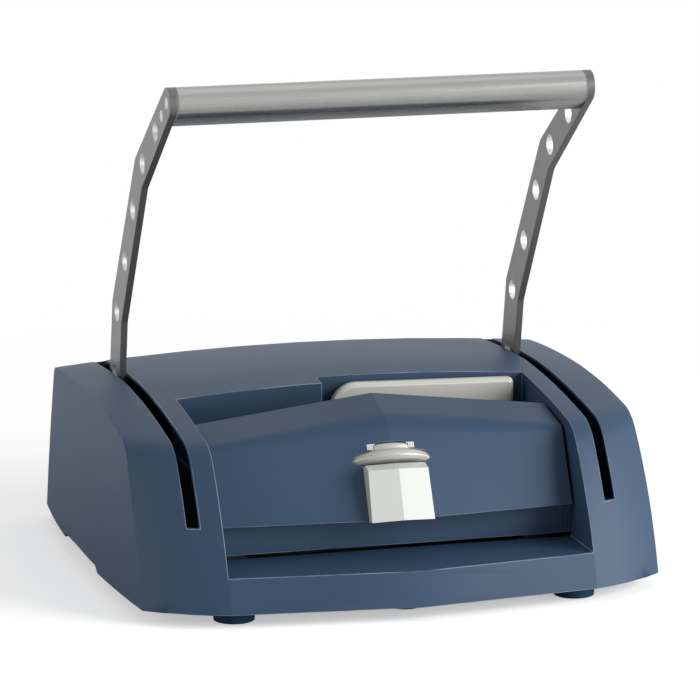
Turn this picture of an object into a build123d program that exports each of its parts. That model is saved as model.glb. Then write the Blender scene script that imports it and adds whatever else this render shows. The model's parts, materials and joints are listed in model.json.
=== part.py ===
from build123d import *
import math
import os

# A desk-top channel binding machine. A metal spine channel with its sheets stands
# between two jaws inside the moulded housing. Pulling the long handle forward turns
# two spiral cams, and they push the rear jaw against the channel and close it.
# The wheel on the front panel sets the front jaw for the width of the channel.
#
# Millimetres. X is to the right, Y to the back and Z up. The origin is on the table,
# under the middle of the machine.

# Housing: overall sizes and the lines of its moulded form
depth = 438.0
half_top = 225.0
skirt_z = 12.0
wall = 3.0
shoulder_run = 71.0
shoulder_z = 139.0
shoulder_lift = 6.0
shoulder_radius = 42.0
front_bulge = 6.9
top_bulge = 3.3
peak_y = 55.0
peak_z = 152.2
peak_crown = 13.3
rear_lean = 26.0
rear_z = 145.6
rear_crown = 10.2
rear_radius = 9.0
rear_bulge = 1.6
side_flare = 13.5
side_bow = 11.0
side_bow_top = 0.5
bow_middle = 26.0
lip_setback = 18.0
pillar_setback = 34.0
pillar_slope = 0.22
notch_front = -34.0
notch_back = 100.0
notch_hook = 7.0
notch_low_rise = 3.6
notch_high_rise = 7.0
notch_round = 24.0
front_y = -depth / 2
rear_y = depth / 2
half_foot = half_top + side_flare

# Steel frame
plate_z = 13.0
plate_thickness = 2.5
frame_inner_x = 165.5
frame_thickness = 3.0
frame_front = front_y + 91.0
frame_back = rear_y - 51.0
frame_top = 112.0
frame_foot = 18.0
foot_run = 50.0
beam_depth = 22.0
beam_foot = 48.0
beam_top = 72.0
beam_sheet = 2.5

# Recess that holds the jaws, and the shelf at its foot
rear_jaw_face = frame_front + 114.0
recess_half = 160.0
recess_floor = 41.0
recess_back = rear_jaw_face + 6.0
shelf_back = frame_front - 0.5
side_liner_foot = beam_top + 2.0
back_liner_foot = 106.0

# Slots for the handle arms
arm_mid_x = 183.2
slot_width = 10.5
slot_foot = 79.0
slot_end = rear_y - 29.0

# Handle
arm_thickness = 6.0
pivot_y = rear_y - 83.0
pivot_z = 45.0
pivot = (pivot_y, pivot_z)
arm_runs = ((-32.0, 167.0), (-121.0, 305.0), (-227.0, 381.5))
arm_bends = [(pivot_y + back, pivot_z + up) for back, up in arm_runs]
arm_widths = (38.5, 36.5, 32.0, 27.0)
arm_corner = 12.0
arm_hole_pitch = 61.0
arm_hole_radius = 9.0
arm_hole_count = 6
tube_length_over = 44.0
tube_back = 11.0
tube_wall = 2.5
tube_taper = 0.75
tube_screw_spacing = 23.0
tube_screw_radius = 3.0
screw_head_radius = 5.2
screw_head_depth = 3.0
cap_flange = 2.0
cap_plug = 16.0
handle_back = 28.0
handle_forward = 58.0

# Cross shaft and the spiral cams on it
shaft_radius = 8.0
shaft_nut = 7.0
nut_radius = shaft_radius + 5.6
bush_radius = shaft_radius + 5.0
bush_sleeve = shaft_radius + 2.0
running_fit = 0.05
body_gap = 0.3
cam_x = 110.0
cam_thickness = 14.0
cam_rest_radius = 34.0
cam_rate = 13.4
cam_lead = 12.0
cam_hub_radius = 17.0
cam_tip_radius = 5.0
cam_points = 12
nose_radius = 8.0

# Jaws, their guide rods and the rail that the channel stands on
rod_x = 135.0
rod_z = 46.0
rod_radius = 6.0
rod_block = 12.0
rod_front = frame_front + 24.0
rod_back = pivot_y - 29.0
jaw_half_length = 152.0
jaw_foot = 64.0
jaw_top = 100.0
carrier_foot = 34.0
carrier_top = 58.0
rear_jaw_thickness = 18.0
rear_carrier_back = rear_jaw_face + 72.0
front_jaw_face = rear_jaw_face - 32.0
front_jaw_thickness = 14.0
front_carrier_front = front_jaw_face - 44.0
jaw_undercut = 16.0
jaw_chamfer = 3.0
rest_top = 61.5
rest_thickness = 2.0

# Front panel over the front jaw
panel_half = 157.0
panel_wall = 3.0
panel_rear = frame_front + 68.4
panel_foot = beam_top
panel_ridge_z = 162.2
panel_ridge_end_z = 143.5
crease_y = frame_front + 18.4
crease_z = 150.8
crease_end_y = frame_front + 17.3
crease_end_z = 134.3
crease_radius = 32.0
crease_end_radius = 12.0
panel_nose = frame_front - 27.5
panel_nose_end = frame_front - 13.5
panel_lip_foot = 118.0
panel_seat = 6.0
apron_half = 150.0
apron_foot = 44.6
apron_sheet = 1.5
apron_edge_gap = 0.5

# Size selector
wheel_radius = 45.0
wheel_z = 118.0
wheel_proud = 13.5
wheel_foot = -2.1
wheel_rim = 1.4
wheel_bevel = 4.5
wheel_shoulder = 9.4
wheel_top = 16.2
drum_radius = wheel_radius - 10.7
drum_round = 2.6
window_gap = 0.5
spindle_radius = 4.0
scroll_height = 26.0
scroll_thickness = 6.0
scroll_rest_radius = 8.0
scroll_hub = 7.0
scroll_points = 14
front_jaw_travel = 14.0
dial_turn = 240.0
grip_half = 27.8
grip_top_half = 26.4
grip_top_proud = 14.5
grip_foot_proud = 8.5
grip_gap = 2.6
grip_bevel = 7.0
grip_edge_drop = 2.5
grip_foot = 69.8
grip_undercut = 3.2
bracket_half = wheel_radius + 6.5
bracket_low = -12.0
bracket_high = 38.5
bracket_depth = 9.0
follower_half = 26.0
follower_low = 109.2
follower_top = 126.0
follower_sheet = 3.0
plate_near = 13.8
plate_far = 20.8
plate_low = 10.6
plate_high = 15.6
scale_sheet = 0.6

# Channel opening tool and its pocket
pocket_left = -29.0
pocket_floor = 118.0
pocket_depth = 18.0
tool_left = -20.0
tool_right = 148.0
tool_thickness = 12.0
tool_foot = 126.0
tool_high = 159.0
tool_low = 155.0
tool_tip_radius = 24.0
tool_end_radius = 5.0
tool_edge = 3.0
blade_thickness = 1.6
blade_inset = 22.0

# Feet and fasteners
foot_radius = 17.5
foot_x = 150.0
front_foot_y = front_y + 51.0
centre_foot_y = front_y + 57.5
rear_foot_y = rear_y - 47.0
foot_bore = 6.0
foot_bore_depth = 5.0
screw_radius = 2.5
pan_head_radius = 4.5
pan_head = 3.0
boss_radius = 6.0
boss_x = half_top - 18.0
boss_ys = (front_y + 119.0, rear_y - 41.0)
post_hole_depth = 14.0

# Return springs on the guide rods
spring_wire = 2.2
spring_turns = 4
spring_sides = 10

far = 400.0
middle_stations = 3
pillar_stations = 5
inner_stations = 2
station_end = half_foot + wall
plate_top = plate_z + plate_thickness


def box(x0, x1, y0, y1, z0, z1):
    """A block between two corners."""
    middle = ((x0 + x1) / 2, (y0 + y1) / 2, (z0 + z1) / 2)
    return Pos(*middle) * Box(x1 - x0, y1 - y0, z1 - z0)


def both_sides(part):
    """A right-hand piece and its mirror image, as two solids."""
    return Compound(children=[*part.solids(), *part.mirror(Plane.YZ).solids()])


def side_plane(x):
    """The upright plane across the machine at x: its own axes are Y and Z."""
    return Plane((x, 0, 0), x_dir=(0, 1, 0), z_dir=(1, 0, 0))


def across(points, x0, x1):
    """A flat outline in Y and Z, carried along X from x0 to x1."""
    return extrude(side_plane(x0) * make_face(Polyline(*points, close=True)), x1 - x0)


def rod_along_x(radius, y, z, x0, x1):
    """A round bar along X."""
    return extrude(side_plane(x0) * Pos(y, z) * Circle(radius), x1 - x0)


def upright(radius, x, y, z0, z1):
    """A round bar along Z."""
    return Pos(x, y, z0) * extrude(Circle(radius), z1 - z0)


def nearest(face, point):
    """The corner of a face that lies nearest a point of its own plane."""
    return face.vertices().sort_by_distance(point)[0]


# Housing

def setback(x):
    """How far the front lies behind its crest: a shallow V, then an arc round the pillar."""
    if x <= recess_half:
        return lip_setback * x / recess_half
    run = half_top - recess_half
    bend = (pillar_setback - pillar_slope * run) / run**2
    return lip_setback + pillar_slope * (x - recess_half) + bend * (x - recess_half) ** 2


def crown(x, height):
    """How far a crowned line stands above its height at the side."""
    return height * (1 - (x / half_top) ** 2)


def form_section(x, inset):
    """The side view of the housing at x: curved front, shoulder, long low top and leaning back."""
    foot = Vector(front_y + setback(x) + inset, skirt_z - inset)
    lift = shoulder_lift * max(0, 1 - (x / recess_half) ** 2)
    shoulder = Vector(front_y + setback(x) + shoulder_run + inset, shoulder_z + lift - inset)
    peak = Vector(peak_y, peak_z + crown(x, peak_crown) - inset)
    rear_top = Vector(rear_y - rear_lean - inset, rear_z + crown(x, rear_crown) - inset)
    rear_foot = Vector(rear_y - inset, skirt_z - inset)
    edges = [
        SagittaArc(foot, shoulder, front_bulge),
        SagittaArc(shoulder, peak, top_bulge),
        SagittaArc(peak, rear_top, rear_bulge),
        Line(rear_top, rear_foot),
        Line(rear_foot, foot),
    ]
    face = make_face(edges)
    face = fillet(nearest(face, shoulder), shoulder_radius - inset)
    face = fillet(nearest(face, rear_top), rear_radius - inset)
    return side_plane(x) * face


def bowed_outline(widest, bow):
    """Half the machine in plan, longer than the machine, with a bowed side."""
    end = widest - bow
    front, back = bow_middle - far, bow_middle + far
    edges = [
        Line((0, front), (end, front)),
        ThreePointArc((end, front), (widest, bow_middle), (end, back)),
        Line((end, back), (0, back)),
        Line((0, back), (0, front)),
    ]
    return make_face(edges)


def side_room(inset):
    """The room inside the right side wall: bowed at its foot, almost straight at its top."""
    low = skirt_z - inset
    high = peak_z + peak_crown + wall
    bow = side_bow * (far / (rear_y - bow_middle)) ** 2
    rise_share = (high - low) / (peak_z - skirt_z)
    top = half_foot + (half_top - half_foot) * rise_share - inset
    lower = Pos(0, 0, low) * bowed_outline(half_foot - inset, bow)
    upper = Pos(0, 0, high) * bowed_outline(top, side_bow_top)
    return loft([lower, upper], ruled=True)


def housing_stations(over_recess, round_pillar):
    """Where the side views stand: even steps over the recess, closer ones round the pillar."""
    middle = [recess_half * step / over_recess for step in range(over_recess)]
    run = (station_end - recess_half) / round_pillar
    return [*middle, *(recess_half + run * step for step in range(round_pillar + 1))]


def form(inset):
    """The solid form of the housing, or the room inside it when inset by its wall."""
    steps = (inner_stations, inner_stations + 1) if inset else (middle_stations, pillar_stations)
    sections = [form_section(x, inset) for x in housing_stations(*steps)]
    right = loft(sections, ruled=True) & side_room(inset)
    return right + right.mirror(Plane.YZ)


def recess_walls():
    """The moulded walls round the recess, the shelf and the tool pocket, as solid blocks."""
    half = recess_half + wall
    shelf = box(-half, half, -far, shelf_back, recess_floor - wall, far)
    throat = box(-half, half, shelf_back, recess_back + wall, back_liner_foot, far)
    liner = box(recess_half, half, shelf_back, recess_back, side_liner_foot, far)
    back = recess_back + pocket_depth + wall
    pocket = box(pocket_left - wall, half, recess_back, back, pocket_floor - wall, far)
    return shelf + throat + both_sides(liner) + pocket


def recess_room():
    """The open room of the recess, above the shelf, in the throat and in the tool pocket."""
    shelf = box(-recess_half, recess_half, -far, shelf_back, recess_floor, far)
    throat = box(-recess_half, recess_half, shelf_back - wall, recess_back, back_liner_foot - far, far)
    back = recess_back + pocket_depth
    pocket = box(pocket_left, recess_half, recess_back - wall, back, pocket_floor, far)
    return shelf + (throat - box(-far, far, -far, shelf_back, -far, recess_floor)) + pocket


def arm_slots():
    """The two long slots that the handle arms move in."""
    near = arm_mid_x - slot_width / 2
    slot = box(near, near + slot_width, -far, slot_end, slot_foot, far)
    return both_sides(slot)


def housing_posts():
    """Four posts that take the screws from below."""
    posts = [upright(boss_radius, boss_x, y, plate_top, far / 2) for y in boss_ys]
    return both_sides(posts[0] + posts[1]) & form(wall / 2)


def screw_holes(radius, z0, z1):
    """The screw holes under the four posts."""
    holes = [upright(radius, boss_x, y, z0, z1) for y in boss_ys]
    return both_sides(holes[0] + holes[1])


def grip_notch():
    """The hollow in the foot of a side wall for lifting: hooked behind and rounded in front."""
    low = skirt_z - wall
    front_high = (notch_front + notch_round, skirt_z + notch_high_rise)
    middle = (notch_front + notch_round / 4, skirt_z + notch_high_rise / 2)
    back_high = (notch_back - notch_hook, skirt_z + notch_low_rise)
    edges = [
        Line((notch_back, low), back_high),
        Line(back_high, front_high),
        ThreePointArc(front_high, middle, (notch_front, skirt_z)),
        Line((notch_front, skirt_z), (notch_front, low)),
        Line((notch_front, low), (notch_back, low)),
    ]
    start = half_top - wall * 3
    return extrude(side_plane(start) * make_face(edges), far - start)


def housing():
    """The outer shell in one moulding: recess, shelf, tool pocket, slots and screw posts."""
    shell = form(0) - (form(wall) - recess_walls())
    shell = shell - recess_room() - arm_slots()
    shell = shell + housing_posts()
    shell = shell - screw_holes(screw_radius, skirt_z, plate_top + post_hole_depth)
    return shell - both_sides(grip_notch())


# Steel frame

def base_plate():
    """The steel tray that closes the housing from below."""
    slab = box(-far, far, -far, far, plate_z, plate_top)
    plate = slab & form(wall + body_gap)
    plate -= screw_holes(screw_radius, 0, far)
    for x, y in foot_places():
        plate -= upright(screw_radius, x, y, 0, far)
    return plate


def foot_places():
    """Where the five feet stand."""
    front = [(side * foot_x, front_foot_y) for side in (-1, 1)]
    rear = [(side * foot_x, rear_foot_y) for side in (-1, 1)]
    return [*front, (0, centre_foot_y), *rear]


def side_frame():
    """The right frame plate, with a foot bent inwards and a hole for the bush."""
    outer = frame_inner_x + frame_thickness
    middle = (frame_front + frame_back) / 2
    outline = (
        (frame_front, plate_top),
        (frame_front, beam_top + frame_thickness),
        (frame_front + frame_top - beam_top, frame_top),
        (pivot_y - bush_radius * 2, frame_top),
        (frame_back, pivot_z + bush_radius * 2),
        (frame_back, plate_top),
    )
    plate = across(outline, frame_inner_x, outer)
    foot_back = plate_top + frame_thickness
    plate += box(frame_inner_x - frame_foot, outer, middle - foot_run, middle + foot_run, plate_top, foot_back)
    return plate - rod_along_x(bush_sleeve, *pivot, 0, far)


def front_beam():
    """A channel section across the front, that carries the apron, the panel and the selector."""
    back = frame_front + beam_depth
    outer = box(-frame_inner_x, frame_inner_x, frame_front, back, beam_foot, beam_top)
    inner = box(-far, far, frame_front + beam_sheet, back - beam_sheet, 0, beam_top - beam_sheet)
    return outer - inner


def rear_beam():
    """An angle section across the back."""
    low = beam_foot + beam_sheet
    upper = box(-frame_inner_x, frame_inner_x, frame_back - beam_sheet, frame_back, low, beam_top)
    lower = box(-frame_inner_x, frame_inner_x, frame_back - beam_depth / 2, frame_back, beam_foot, low)
    return upper + lower


def guide_rods():
    """Two ground rods along Y that carry both jaws."""
    rod = Plane((rod_x, rod_front, rod_z), x_dir=(1, 0, 0), z_dir=(0, 1, 0)) * Circle(rod_radius)
    return both_sides(extrude(rod, rod_back - rod_front))


def rod_hole(radius, x=rod_x):
    """A long bore along Y round a guide rod."""
    return extrude(Plane((x, -far, rod_z), x_dir=(1, 0, 0), z_dir=(0, 1, 0)) * Circle(radius), 2 * far)


def rod_blocks():
    """Four blocks that stand on the base plate and hold the ends of the rods."""
    half = rod_radius + frame_thickness * 2
    top = rod_z + half
    front = box(rod_x - half, rod_x + half, rod_front, rod_front + rod_block, plate_top, top)
    rear = box(rod_x - half, rod_x + half, rod_back - rod_block, rod_back, plate_top, top)
    return both_sides((front + rear) - rod_hole(rod_radius))


def channel_rest():
    """The rail between the jaws, on which the spine channel stands."""
    front, back = front_jaw_face, rear_jaw_face
    rail = box(-frame_inner_x, frame_inner_x, front, back, rest_top - rest_thickness, rest_top)
    rib_y = (front + back) / 2
    half = jaw_half_length - rod_x + rod_radius
    rib = box(-rod_x + half, rod_x - half, rib_y - rest_thickness, rib_y + rest_thickness, plate_top, rest_top)
    return rail + rib


def shaft_bushes():
    """The flanged bushes that the cross shaft turns in."""
    outer = frame_inner_x + frame_thickness
    sleeve = rod_along_x(bush_sleeve, *pivot, frame_inner_x, outer)
    flange = rod_along_x(bush_radius, *pivot, frame_inner_x - frame_thickness, frame_inner_x)
    return both_sides(sleeve + flange - rod_along_x(shaft_radius + running_fit, *pivot, 0, far))


# Handle

def arm_lines():
    """The two long edges of an arm: its centre line, set off to both sides at every bend."""
    centres = [Vector(*pivot), *(Vector(*bend) for bend in arm_bends)]
    runs = [(b - a).normalized() for a, b in zip(centres, centres[1:])]
    before = [runs[0], *runs]
    after = [*runs, runs[-1]]
    front, back = [], []
    for centre, run_in, run_out, width in zip(centres, before, after, arm_widths):
        along = (run_in + run_out).normalized()
        side = Vector(-along.Y, along.X) * (width / 2 / along.dot(run_in))
        front.append(centre + side)
        back.append(centre - side)
    return front, back


def point_along(distance):
    """A point of the arm's centre line, counted from its first bend."""
    bends = [Vector(*bend) for bend in arm_bends]
    upper = (bends[1] - bends[0]).length
    if distance <= 0:
        return bends[0] + (bends[0] - Vector(*pivot)).normalized() * distance
    if distance <= upper:
        return bends[0] + (bends[1] - bends[0]).normalized() * distance
    return bends[1] + (bends[2] - bends[1]).normalized() * (distance - upper)


def tube_middle():
    """The middle of the hand tube's section, set back from the rounded end of the arm."""
    tip = Vector(*arm_bends[-1])
    back = (Vector(*arm_bends[-2]) - tip).normalized()
    return tip + back * tube_back


def tube_screw_points():
    """The two screws at each end of the hand tube."""
    run = (Vector(*arm_bends[-1]) - Vector(*arm_bends[-2])).normalized()
    return [tube_middle() + run * side * tube_screw_spacing / 2 for side in (-1, 1)]


def arm(x0):
    """A flat cranked arm with a row of round holes, rounded at the tip and round the shaft."""
    front, back = arm_lines()
    body = make_face(Polyline(*front, *reversed(back), close=True))
    for place in (front[1], front[2], back[1], back[2]):
        body = fillet(nearest(body, place), arm_corner)
    body += Pos(*pivot) * Circle(arm_widths[0] / 2)
    body += Pos(*arm_bends[-1]) * Circle(arm_widths[-1] / 2)
    for number in range(arm_hole_count):
        body -= Pos(point_along((number - 1) * arm_hole_pitch)) * Circle(arm_hole_radius)
    for point in tube_screw_points():
        body -= Pos(point) * Circle(tube_screw_radius)
    body -= Pos(*pivot) * Circle(shaft_radius)
    plate = extrude(side_plane(x0) * body, arm_thickness)
    outer = x0 if x0 < 0 else x0 + arm_thickness - screw_head_depth
    for point in tube_screw_points():
        plate -= rod_along_x(screw_head_radius, point.X, point.Y, outer, outer + screw_head_depth)
    return plate


def tube_section(inset):
    """The hand tube's section: a long drop, full at the end of the arm and slimmer behind."""
    tip = Vector(*arm_bends[-1])
    run = (Vector(*arm_bends[-2]) - tip).normalized()
    full = arm_widths[-1] / 2 - inset
    slim = full * tube_taper
    rear = tip + run * (tube_length_over - arm_widths[-1] / 2 - slim - inset)
    outline = make_hull([*CenterArc(tip, full, 0, 360).edges(), *CenterArc(rear, slim, 0, 360).edges()])
    return outline


def tube_ends():
    """Where the tube starts and stops, between the inner faces of the arms."""
    inner = arm_mid_x - arm_thickness / 2
    return -inner + cap_flange, inner - cap_flange


def handle_tube():
    """The hand tube, an extruded hollow section."""
    start, stop = tube_ends()
    ring = tube_section(0) - tube_section(tube_wall)
    return extrude(side_plane(start) * ring, stop - start)


def tube_end_caps():
    """The caps between tube and arms, each with a plug that takes two screws."""
    start, stop = tube_ends()
    flange = extrude(side_plane(stop) * tube_section(0), cap_flange)
    plug = extrude(side_plane(stop - cap_plug) * tube_section(tube_wall), cap_plug)
    cap = flange + plug
    for point in tube_screw_points():
        cap -= rod_along_x(tube_screw_radius, point.X, point.Y, 0, far)
    return both_sides(cap)


def tube_screws():
    """Four screws that hold the arms to the tube."""
    outer = arm_mid_x + arm_thickness / 2
    inner = outer - arm_thickness - cap_flange - cap_plug
    screws = []
    for point in tube_screw_points():
        shank = rod_along_x(tube_screw_radius, point.X, point.Y, inner, outer)
        head = rod_along_x(screw_head_radius, point.X, point.Y, outer - screw_head_depth, outer)
        screws.append(shank + head)
    return both_sides(screws[0] + screws[1])


def cross_shaft():
    """The shaft from arm to arm."""
    end = arm_mid_x + arm_thickness / 2 + shaft_nut
    return rod_along_x(shaft_radius, *pivot, -end, end)


def shaft_spacers():
    """Sleeves between the frame plates and the arms."""
    start = frame_inner_x + frame_thickness + body_gap
    stop = arm_mid_x - arm_thickness / 2
    sleeve = rod_along_x(bush_radius, *pivot, start, stop) - rod_along_x(shaft_radius, *pivot, 0, far)
    return both_sides(sleeve)


def shaft_nuts():
    """The nuts that clamp the arms on the shaft."""
    start = arm_mid_x + arm_thickness / 2
    outline = side_plane(start) * Pos(*pivot) * RegularPolygon(nut_radius, 6)
    nut = extrude(outline, shaft_nut) - rod_along_x(shaft_radius, *pivot, 0, far)
    return both_sides(nut)


def cam_point(turn):
    """A point of the cam's edge: the nose centre's spiral, less the nose radius at right angles."""
    radius = cam_rest_radius + cam_rate * turn
    toward = Vector(-math.cos(turn), math.sin(turn))
    tangent = Vector(math.sin(turn), math.cos(turn)) * radius + toward * cam_rate
    normal = Vector(tangent.Y, -tangent.X).normalized()
    if normal.dot(toward) < 0:
        normal = normal * -1
    return Vector(*pivot) + toward * radius - normal * (nose_radius + body_gap)


def cam():
    """The right spiral cam: the jaw moves by the same amount for every degree of the handle."""
    first = math.radians(-handle_back - cam_lead)
    last = math.radians(handle_forward + cam_lead)
    edge = [cam_point(first + (last - first) * step / cam_points) for step in range(cam_points + 1)]
    spiral = Spline(*edge)
    lobe = make_face([spiral, Line(edge[-1], Vector(*pivot)), Line(Vector(*pivot), edge[0])])
    flank = fillet(nearest(lobe, edge[-1]), cam_tip_radius)
    body = flank + Pos(*pivot) * Circle(cam_hub_radius) - Pos(*pivot) * Circle(shaft_radius)
    return extrude(side_plane(cam_x - cam_thickness / 2) * body, cam_thickness)


# Jaws

def rear_jaw_bar():
    """The long press bar at the back of the throat."""
    back = rear_jaw_face + rear_jaw_thickness
    outline = (
        (rear_jaw_face, jaw_foot),
        (rear_jaw_face, jaw_top - jaw_chamfer),
        (rear_jaw_face + jaw_chamfer, jaw_top),
        (back, jaw_top),
        (back, jaw_foot),
    )
    return across(outline, -jaw_half_length, jaw_half_length)


def rear_jaw_carriers():
    """The two sliding blocks under the rear jaw: one bore for the rod, one arm for the cam."""
    back = rear_jaw_face + rear_jaw_thickness
    inner = cam_x - cam_thickness
    outline = (
        (rear_jaw_face + jaw_undercut, carrier_foot),
        (rear_jaw_face + jaw_undercut, jaw_foot),
        (back, jaw_foot),
        (back, jaw_foot + jaw_undercut),
        (back + jaw_undercut, jaw_foot + jaw_undercut / 2),
        (rear_carrier_back, carrier_top),
        (rear_carrier_back, carrier_foot),
    )
    block = across(outline, inner, jaw_half_length)
    nose_y = pivot_y - cam_rest_radius
    half = cam_thickness / 2
    shank = box(cam_x - half, cam_x + half, rear_carrier_back, nose_y - nose_radius, carrier_foot, carrier_top)
    return both_sides(block + shank - rod_hole(rod_radius + running_fit))


def follower_noses():
    """The hard round noses that the cams push."""
    nose_y = pivot_y - cam_rest_radius
    half = cam_thickness / 2
    nose = rod_along_x(nose_radius, nose_y, pivot_z, cam_x - half, cam_x + half)
    seat = box(cam_x - half, cam_x + half, nose_y - nose_radius, nose_y, pivot_z - nose_radius, pivot_z + nose_radius)
    return both_sides(nose + seat)


def front_jaw_bar():
    """The long bar that the channel is pressed against."""
    front = front_jaw_face - front_jaw_thickness
    outline = (
        (front_jaw_face, jaw_foot),
        (front_jaw_face, jaw_top - jaw_chamfer),
        (front_jaw_face - jaw_chamfer, jaw_top),
        (front, jaw_top),
        (front, jaw_foot),
    )
    return across(outline, -jaw_half_length, jaw_half_length)


def front_jaw_carriers():
    """The two sliding blocks under the front jaw."""
    front = front_jaw_face - front_jaw_thickness
    outline = (
        (front_jaw_face - jaw_undercut, carrier_foot),
        (front_jaw_face - jaw_undercut, jaw_foot),
        (front, jaw_foot),
        (front, jaw_foot + jaw_undercut),
        (front_carrier_front, carrier_top),
        (front_carrier_front, carrier_foot),
    )
    block = across(outline, cam_x + cam_thickness / 2, jaw_half_length)
    return both_sides(block - rod_hole(rod_radius + running_fit))


# Front panel and apron

def panel_section(x, inset):
    """The side view of the front panel at x, a little hood with a rounded crease."""
    share = abs(x) / panel_half

    def between(middle, end):
        return middle + (end - middle) * share

    rear = Vector(panel_rear - inset, between(panel_ridge_z, panel_ridge_end_z) - inset)
    crease = Vector(between(crease_y, crease_end_y) + inset / 2, between(crease_z, crease_end_z) - inset)
    nose = Vector(between(panel_nose, panel_nose_end) + inset, panel_foot + inset)
    back_foot = Vector(panel_rear - inset, panel_foot + inset)
    face = make_face(Polyline(rear, crease, nose, back_foot, close=True))
    face = fillet(nearest(face, crease), between(crease_radius, crease_end_radius) - inset / 2)
    return side_plane(x) * face


def panel_form(half, inset):
    """The hood's solid form, from end to end over the ridge in the middle."""
    return loft([panel_section(x, inset) for x in (-half, 0, half)], ruled=True)


def front_panel():
    """The hood over the front jaw, open behind and below, with the window for the wheel."""
    shell = panel_form(panel_half, 0) - panel_form(panel_half - panel_wall, panel_wall)
    inner = panel_half - panel_wall
    front_of_lip = panel_rear - panel_wall * 2
    shell -= box(-inner, inner, front_of_lip, far, 0, panel_lip_foot)
    shell -= box(-inner, inner, frame_front + panel_seat, far, 0, panel_foot + panel_wall)
    keep_out = bracket_half + panel_wall
    shell -= box(-keep_out, keep_out, frame_front - window_gap, far, 0, panel_foot + panel_wall)
    shell -= box(-keep_out, keep_out, front_of_lip, far, 0, follower_top + panel_wall * 2)
    return shell - wheel_body(window_gap)


def inner_apron():
    """The straight band under the panel, and the wider sheet behind it that closes the recess."""
    back_half = recess_half - apron_edge_gap
    seam = frame_front - apron_sheet
    band = box(-apron_half, apron_half, seam - apron_sheet, seam, apron_foot, panel_foot)
    return band + box(-back_half, back_half, seam, frame_front, apron_foot, panel_foot)


# Size selector, built square to the slope of the front panel

def slope():
    """The direction up the middle of the panel's face: the wheel turns about it."""
    return Vector(0, crease_y - panel_nose, crease_z - panel_foot).normalized()


def outward():
    """The direction out of the panel's face."""
    up = slope()
    return Vector(0, -up.Z, up.Y)


def face_point(z):
    """The point on the middle line of the panel's face at a height."""
    return Vector(0, panel_nose, panel_foot) + slope() * ((z - panel_foot) / slope().Z)


def wheel_middle():
    """The middle of the wheel, set back so that its rim stands proud of the panel."""
    return face_point(wheel_z) - outward() * (wheel_radius - wheel_proud)


def wheel_plane(height):
    """The plane of the wheel, moved up its axis: its own Y points into the machine."""
    return Plane(wheel_middle() + slope() * height, x_dir=(1, 0, 0), z_dir=slope())


def disc(radius, low, high):
    """A disc on the wheel's axis."""
    return extrude(wheel_plane(low) * Circle(radius), high - low)


def wheel_body(gap):
    """The wheel and the drum on it, turned from one profile; with a gap, the room they need."""
    rim, foot, top = wheel_radius + gap, wheel_foot - gap, wheel_top + gap
    drum = drum_radius + gap
    shoulder = wheel_shoulder + gap
    diagonal = math.sqrt(0.5)
    middle = (drum + (rim - drum) * diagonal, wheel_rim + (shoulder - wheel_rim) * diagonal)
    edges = [
        Line((0, foot), (rim - wheel_bevel, foot)),
        Line((rim - wheel_bevel, foot), (rim, wheel_rim)),
        Line((rim, wheel_rim), middle),
        Line(middle, (drum, shoulder)),
        Line((drum, shoulder), (drum, top - drum_round)),
        Line((drum, top - drum_round), (drum - drum_round, top)),
        Line((drum - drum_round, top), (0, top)),
        Line((0, top), (0, foot)),
    ]
    centre = wheel_middle()
    profile = Plane(centre, x_dir=(1, 0, 0), z_dir=outward()) * make_face(edges)
    return revolve(profile, Axis(centre, slope()))


def size_wheel():
    """The thumb wheel with its drum."""
    return wheel_body(0) - disc(spindle_radius, -far, far)


def wheel_spindle():
    """The spindle through wheel, scroll and bracket."""
    return disc(spindle_radius, bracket_low - spindle_radius, bracket_high + spindle_radius)


def scroll_point(turn):
    """A point of the scroll: its reach grows evenly, for a flat follower."""
    reach = scroll_rest_radius + scroll_rate() * turn
    angle = math.pi / 2 - turn
    normal = Vector(math.cos(angle), math.sin(angle))
    tangent = Vector(-math.sin(angle), math.cos(angle))
    return normal * reach - tangent * scroll_rate()


def scroll_rate():
    """How far the scroll reaches out for each radian, so that the jaw makes its whole travel."""
    return front_jaw_travel / math.radians(dial_turn) / outward().Y * -1


def scroll_cam():
    """The scroll on the spindle, which moves the front jaw towards the channel."""
    lead = math.radians(cam_lead)
    last = math.radians(dial_turn) + lead
    edge = [scroll_point(-lead + (last + lead) * step / scroll_points) for step in range(scroll_points + 1)]
    centre = Vector(0, 0)
    lobe = make_face([Spline(*edge), Line(edge[-1], centre), Line(centre, edge[0])])
    body = lobe + Circle(scroll_hub) - Circle(spindle_radius)
    low = scroll_height - scroll_thickness / 2
    return extrude(wheel_plane(low) * body, scroll_thickness)


def selector_bracket():
    """A sheet frame round the wheel that holds the spindle and stands on the front beam."""
    sheet = beam_sheet
    foot = bracket_low - far / 8
    plane = Plane(wheel_middle() - outward() * bracket_depth, x_dir=(1, 0, 0), z_dir=outward())

    def slab(half, low, high):
        sketch = Pos(0, (low + high) / 2) * Rectangle(2 * half, high - low)
        return extrude(plane * sketch, 2 * bracket_depth)

    outer = slab(bracket_half, foot, bracket_high)
    inner = slab(bracket_half - sheet, bracket_low + sheet, bracket_high - sheet)
    below = slab(bracket_half - sheet, foot - sheet, bracket_low)
    frame = outer - inner - below - box(-far, far, -far, far, -far, beam_top)
    frame -= box(-far, far, -far, frame_front, -far, far)
    return frame - disc(spindle_radius + running_fit, -far, far)


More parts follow.
